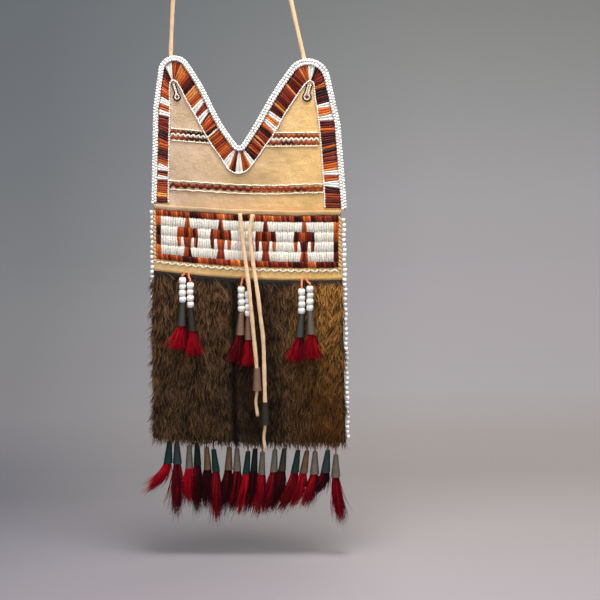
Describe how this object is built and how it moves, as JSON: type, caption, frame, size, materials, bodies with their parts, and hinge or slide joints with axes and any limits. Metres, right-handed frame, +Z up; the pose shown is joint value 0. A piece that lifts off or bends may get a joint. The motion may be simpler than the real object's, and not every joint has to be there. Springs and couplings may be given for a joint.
{
  "type": "quilled hide bag",
  "caption": "Flat hide pouch with two beaded, quilled peaks, a quilled band, a fur front, tie thongs and tin-cone tassels, hung by a carrying thong.",
  "frame": {"origin": "underside of the top of the carrying thong's loop, where a peg holds the bag", "axes": "+Z up along the bag, -Y towards the quilled front, +X to the right as seen from the front"},
  "size_m": [0.1943, 0.034, 0.5669],
  "materials": {
    "hide": "matte smoked hide",
    "thong": "matte hide strip",
    "fur": "long dark brown fur",
    "red_quill": "dyed quills, satin",
    "dark_quill": "dark dyed quills, satin",
    "white_quill": "undyed quills, satin",
    "bead": "opaque white beads, glossy",
    "tin": "tarnished tin",
    "tassel_hair": "dyed hair in tin cones"
  },
  "bodies": {
    "bag": {"back_panel": "hide", "front_band": "hide", "mouth_binding": "hide", "fur_pelt": "fur", "edge_beads": "bead", "side_beads_left": "bead", "side_beads_right": "bead", "quilled_border_red": "red_quill", "quilled_border_white": "white_quill", "panel_red_quills": "red_quill", "zigzag_long": "dark_quill", "zigzag_short_left": "dark_quill", "zigzag_short_right": "dark_quill", "wave_below_panel": "white_quill", "peak_curl_left": "dark_quill", "peak_curl_right": "dark_quill", "carrying_strap": "thong", "tie_thong_left": "thong", "tie_thong_right": "thong", "tie_cone_left": "tin", "tie_cone_right": "tin", "panel_white_quills_1": "white_quill", "panel_white_quills_2": "white_quill", "panel_white_quills_3": "white_quill", "panel_white_quills_4": "white_quill", "panel_white_quills_5": "white_quill"},
    "front_tassel_1": {"front_strand_1": "bead", "front_cone_1": "tassel_hair"},
    "front_tassel_2": {"front_strand_2": "bead", "front_cone_2": "tassel_hair"},
    "front_tassel_3": {"front_strand_3": "bead", "front_cone_3": "tassel_hair"},
    "front_tassel_4": {"front_strand_4": "bead", "front_cone_4": "tassel_hair"},
    "front_tassel_5": {"front_strand_5": "bead", "front_cone_5": "tassel_hair"},
    "front_tassel_6": {"front_strand_6": "bead", "front_cone_6": "tassel_hair"},
    "fringe_01": {"fringe_tassel_01": "tassel_hair"},
    "fringe_02": {"fringe_tassel_02": "tassel_hair"},
    "fringe_03": {"fringe_tassel_03": "tassel_hair"},
    "fringe_04": {"fringe_tassel_04": "tassel_hair"},
    "fringe_05": {"fringe_tassel_05": "tassel_hair"},
    "fringe_06": {"fringe_tassel_06": "tassel_hair"},
    "fringe_07": {"fringe_tassel_07": "tassel_hair"},
    "fringe_08": {"fringe_tassel_08": "tassel_hair"},
    "fringe_09": {"fringe_tassel_09": "tassel_hair"},
    "fringe_10": {"fringe_tassel_10": "tassel_hair"},
    "fringe_11": {"fringe_tassel_11": "tassel_hair"},
    "fringe_12": {"fringe_tassel_12": "tassel_hair"},
    "fringe_13": {"fringe_tassel_13": "tassel_hair"},
    "fringe_14": {"fringe_tassel_14": "tassel_hair"},
    "fringe_15": {"fringe_tassel_15": "tassel_hair"},
    "fringe_16": {"fringe_tassel_16": "tassel_hair"},
    "fringe_17": {"fringe_tassel_17": "tassel_hair"},
    "fringe_18": {"fringe_tassel_18": "tassel_hair"}
  },
  "joints": [
    {"name": "front_tassel_1_swing", "type": "hinge", "parent": "bag", "child": "front_tassel_1", "pos_m": [-0.061, -0.0114, -0.319], "axis": [-1, 0, 0], "range_deg": [0, 70]},
    {"name": "front_tassel_2_swing", "type": "hinge", "parent": "bag", "child": "front_tassel_2", "pos_m": [-0.0576, -0.0119, -0.3193], "axis": [-1, 0, 0], "range_deg": [0, 70]},
    {"name": "front_tassel_3_swing", "type": "hinge", "parent": "bag", "child": "front_tassel_3", "pos_m": [-0.006, -0.0159, -0.3229], "axis": [-1, 0, 0], "range_deg": [0, 70]},
    {"name": "front_tassel_4_swing", "type": "hinge", "parent": "bag", "child": "front_tassel_4", "pos_m": [-0.0024, -0.0159, -0.3231], "axis": [0, -1, 0], "range_deg": [0, 20]},
    {"name": "front_tassel_5_swing", "type": "hinge", "parent": "bag", "child": "front_tassel_5", "pos_m": [0.0502, -0.0127, -0.3249], "axis": [-1, 0, 0], "range_deg": [0, 70]},
    {"name": "front_tassel_6_swing", "type": "hinge", "parent": "bag", "child": "front_tassel_6", "pos_m": [0.054, -0.0122, -0.325], "axis": [-1, 0, 0], "range_deg": [0, 70]},
    {"name": "fringe_01_swing", "type": "hinge", "parent": "bag", "child": "fringe_01", "pos_m": [-0.0764, -0.0033, -0.48], "axis": [-1, 0, 0], "range_deg": [-40, 40]},
    {"name": "fringe_02_swing", "type": "hinge", "parent": "bag", "child": "fringe_02", "pos_m": [-0.0695, -0.0033, -0.4803], "axis": [-1, 0, 0], "range_deg": [-40, 40]},
    {"name": "fringe_03_swing", "type": "hinge", "parent": "bag", "child": "fringe_03", "pos_m": [-0.0576, -0.0033, -0.4808], "axis": [-1, 0, 0], "range_deg": [-40, 40]},
    {"name": "fringe_04_swing", "type": "hinge", "parent": "bag", "child": "fringe_04", "pos_m": [-0.0502, -0.0033, -0.4811], "axis": [-1, 0, 0], "range_deg": [-40, 40]},
    {"name": "fringe_05_swing", "type": "hinge", "parent": "bag", "child": "fringe_05", "pos_m": [-0.041, -0.0033, -0.4815], "axis": [-1, 0, 0], "range_deg": [-40, 40]},
    {"name": "fringe_06_swing", "type": "hinge", "parent": "bag", "child": "fringe_06", "pos_m": [-0.0343, -0.0033, -0.4817], "axis": [-1, 0, 0], "range_deg": [-40, 40]},
    {"name": "fringe_07_swing", "type": "hinge", "parent": "bag", "child": "fringe_07", "pos_m": [-0.0192, -0.0033, -0.4822], "axis": [-1, 0, 0], "range_deg": [-40, 40]},
    {"name": "fringe_08_swing", "type": "hinge", "parent": "bag", "child": "fringe_08", "pos_m": [-0.0119, -0.0033, -0.4824], "axis": [-1, 0, 0], "range_deg": [-40, 40]},
    {"name": "fringe_09_swing", "type": "hinge", "parent": "bag", "child": "fringe_09", "pos_m": [-0.0013, -0.0033, -0.4827], "axis": [-1, 0, 0], "range_deg": [-40, 40]},
    {"name": "fringe_10_swing", "type": "hinge", "parent": "bag", "child": "fringe_10", "pos_m": [0.0055, -0.0033, -0.4829], "axis": [-1, 0, 0], "range_deg": [-40, 40]},
    {"name": "fringe_11_swing", "type": "hinge", "parent": "bag", "child": "fringe_11", "pos_m": [0.0125, -0.0033, -0.4831], "axis": [-1, 0, 0], "range_deg": [-40, 40]},
    {"name": "fringe_12_swing", "type": "hinge", "parent": "bag", "child": "fringe_12", "pos_m": [0.0245, -0.0033, -0.4833], "axis": [-1, 0, 0], "range_deg": [-40, 40]},
    {"name": "fringe_13_swing", "type": "hinge", "parent": "bag", "child": "fringe_13", "pos_m": [0.0335, -0.0033, -0.4834], "axis": [-1, 0, 0], "range_deg": [-40, 40]},
    {"name": "fringe_14_swing", "type": "hinge", "parent": "bag", "child": "fringe_14", "pos_m": [0.0466, -0.0033, -0.4836], "axis": [-1, 0, 0], "range_deg": [-40, 40]},
    {"name": "fringe_15_swing", "type": "hinge", "parent": "bag", "child": "fringe_15", "pos_m": [0.0552, -0.0033, -0.4837], "axis": [-1, 0, 0], "range_deg": [-40, 40]},
    {"name": "fringe_16_swing", "type": "hinge", "parent": "bag", "child": "fringe_16", "pos_m": [0.0629, -0.0033, -0.4837], "axis": [-1, 0, 0], "range_deg": [-40, 40]},
    {"name": "fringe_17_swing", "type": "hinge", "parent": "bag", "child": "fringe_17", "pos_m": [0.0751, -0.0033, -0.4838], "axis": [-1, 0, 0], "range_deg": [-40, 40]},
    {"name": "fringe_18_swing", "type": "hinge", "parent": "bag", "child": "fringe_18", "pos_m": [0.0828, -0.0033, -0.4838], "axis": [-1, 0, 0], "range_deg": [-40, 40]}
  ]
}
